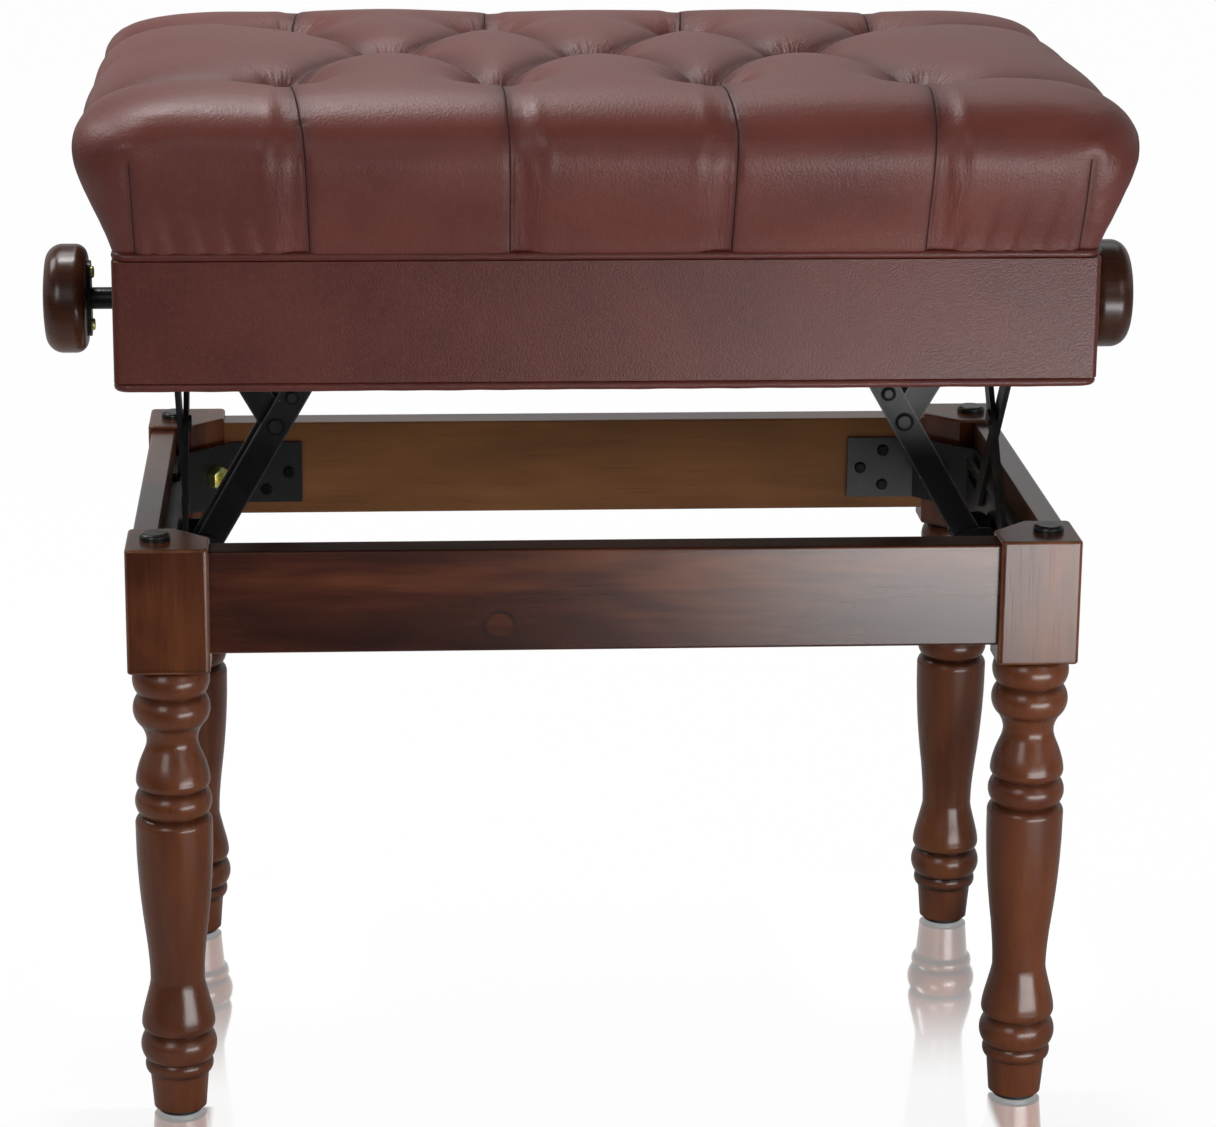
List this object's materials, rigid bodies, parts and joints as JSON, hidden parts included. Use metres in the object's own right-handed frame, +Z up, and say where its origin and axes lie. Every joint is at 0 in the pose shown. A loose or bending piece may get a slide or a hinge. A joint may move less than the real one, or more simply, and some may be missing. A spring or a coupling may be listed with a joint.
{
  "type": "piano bench",
  "caption": "Wooden piano bench on turned legs, with a tufted leather cushion raised and lowered by side knobs through a scissor lift.",
  "frame": {"origin": "on the floor under the middle of the bench", "axes": "+X to the right as seen from the front, +Y to the rear, +Z up"},
  "size_m": [0.6288, 0.377, 0.5934],
  "materials": {
    "walnut_wood": "satin",
    "bare_wood": "matte",
    "oxblood_leather": "satin",
    "padded_leather": "satin",
    "black_steel": "satin",
    "yellow_zinc": "satin",
    "black_rubber": "satin",
    "black_plastic": "matte"
  },
  "bodies": {
    "base": {"leg_front_left": "walnut_wood", "leg_front_right": "walnut_wood", "leg_rear_left": "walnut_wood", "leg_rear_right": "walnut_wood", "front_apron": "walnut_wood", "rear_apron": "walnut_wood", "left_apron": "walnut_wood", "right_apron": "walnut_wood", "corner_bracket_front_left": "black_steel", "corner_bracket_front_right": "black_steel", "corner_bracket_rear_left": "black_steel", "corner_bracket_rear_right": "black_steel", "bracket_screws": "black_steel", "hanger_bolts": "yellow_zinc", "bolt_nuts": "yellow_zinc", "leg_bumpers": "black_rubber", "foot_glides": "black_plastic", "rail_screws": "black_steel", "left_rail": "black_steel", "right_rail": "black_steel", "base_pivot_pins": "black_steel", "brace_base_studs": "black_steel"},
    "seat": {"left_seat_plate": "black_steel", "right_seat_plate": "black_steel", "seat_plate_screws": "black_steel", "shaft_bushes": "black_plastic", "seat_pivot_pins": "black_steel", "front_skirt_board": "bare_wood", "rear_skirt_board": "bare_wood", "left_skirt_board": "bare_wood", "right_skirt_board": "bare_wood", "skirt_cover": "oxblood_leather", "skirt_piping": "oxblood_leather", "seat_panel": "bare_wood", "panel_cleats": "bare_wood", "seat_cushion": "padded_leather"},
    "drive": {"lead_screw": "black_steel", "shaft_collars": "black_steel", "left_knob": "walnut_wood", "right_knob": "walnut_wood", "knob_flanges": "black_steel", "knob_screws": "yellow_zinc"},
    "left_arm": {"left_arm_front": "black_steel", "left_arm_rear": "black_steel", "left_arm_pins": "black_steel"},
    "left_link": {"left_link_front": "black_steel", "left_link_rear": "black_steel"},
    "left_nut": {"left_trunnion_nut": "black_steel"},
    "left_brace_a": {"left_brace_a": "black_steel"},
    "left_brace_b": {"left_brace_b": "black_steel"},
    "right_arm": {"right_arm_front": "black_steel", "right_arm_rear": "black_steel", "right_arm_pins": "black_steel"},
    "right_link": {"right_link_front": "black_steel", "right_link_rear": "black_steel"},
    "right_nut": {"right_trunnion_nut": "black_steel"},
    "right_brace_a": {"right_brace_a": "black_steel"},
    "right_brace_b": {"right_brace_b": "black_steel"}
  },
  "joints": [
    {"name": "left_arm_swing", "type": "hinge", "parent": "base", "child": "left_arm", "pos_m": [-0.2246, 0, 0.2965], "axis": [0, 1, 0], "range_deg": [0, 39.95]},
    {"name": "left_link_swing", "type": "hinge", "parent": "left_arm", "child": "left_link", "pos_m": [-0.1826, 0, 0.36925], "axis": [0, 1, 0], "range_deg": [-79.9, 0]},
    {"name": "seat_lift", "type": "hinge", "parent": "left_link", "child": "seat", "pos_m": [-0.2246, 0, 0.44199], "axis": [0, 1, 0], "range_deg": [0, 39.95]},
    {"name": "left_nut_tilt", "type": "hinge", "parent": "left_arm", "child": "left_nut", "pos_m": [-0.1406, 0, 0.44199], "axis": [0, 1, 0], "range_deg": [-39.95, 0]},
    {"name": "right_arm_swing", "type": "hinge", "parent": "base", "child": "right_arm", "pos_m": [0.2246, 0, 0.2965], "axis": [0, 1, 0], "range_deg": [-39.95, 0]},
    {"name": "right_link_swing", "type": "hinge", "parent": "right_arm", "child": "right_link", "pos_m": [0.1826, 0, 0.36925], "axis": [0, 1, 0], "range_deg": [0, 79.9]},
    {"name": "right_nut_tilt", "type": "hinge", "parent": "right_arm", "child": "right_nut", "pos_m": [0.1406, 0, 0.44199], "axis": [0, 1, 0], "range_deg": [0, 39.95]},
    {"name": "left_brace_swing", "type": "hinge", "parent": "base", "child": "left_brace_a", "pos_m": [-0.234, -0.074, 0.31], "axis": [1, 0, 0], "range_deg": [-35.51, 0]},
    {"name": "left_brace_cross", "type": "hinge", "parent": "left_brace_a", "child": "left_brace_b", "pos_m": [-0.234, -0.01818, 0.372], "axis": [1, 0, 0], "range_deg": [0, 71.01]},
    {"name": "right_brace_swing", "type": "hinge", "parent": "base", "child": "right_brace_a", "pos_m": [0.234, -0.074, 0.31], "axis": [1, 0, 0], "range_deg": [-35.51, 0]},
    {"name": "right_brace_cross", "type": "hinge", "parent": "right_brace_a", "child": "right_brace_b", "pos_m": [0.234, -0.01818, 0.372], "axis": [1, 0, 0], "range_deg": [0, 71.01]},
    {"name": "knob_turn", "type": "hinge", "parent": "seat", "child": "drive", "pos_m": [0, 0, 0.44199], "axis": [1, 0, 0], "range_deg": [0, 6643.56]}
  ],
  "couplings": [
    {"joint": "left_link_swing", "follows": "left_arm_swing", "ratio": -2},
    {"joint": "seat_lift", "follows": "left_arm_swing", "ratio": 1},
    {"joint": "left_nut_tilt", "follows": "left_arm_swing", "ratio": -1},
    {"joint": "right_arm_swing", "follows": "left_arm_swing", "ratio": -1},
    {"joint": "right_link_swing", "follows": "left_arm_swing", "ratio": 2},
    {"joint": "right_nut_tilt", "follows": "left_arm_swing", "ratio": 1},
    {"joint": "left_brace_swing", "follows": "left_arm_swing", "ratio": -0.88874},
    {"joint": "left_brace_cross", "follows": "left_arm_swing", "ratio": 1.7775},
    {"joint": "right_brace_swing", "follows": "left_arm_swing", "ratio": -0.88874},
    {"joint": "right_brace_cross", "follows": "left_arm_swing", "ratio": 1.7775},
    {"joint": "knob_turn", "follows": "left_arm_swing", "ratio": 166.3}
  ]
}
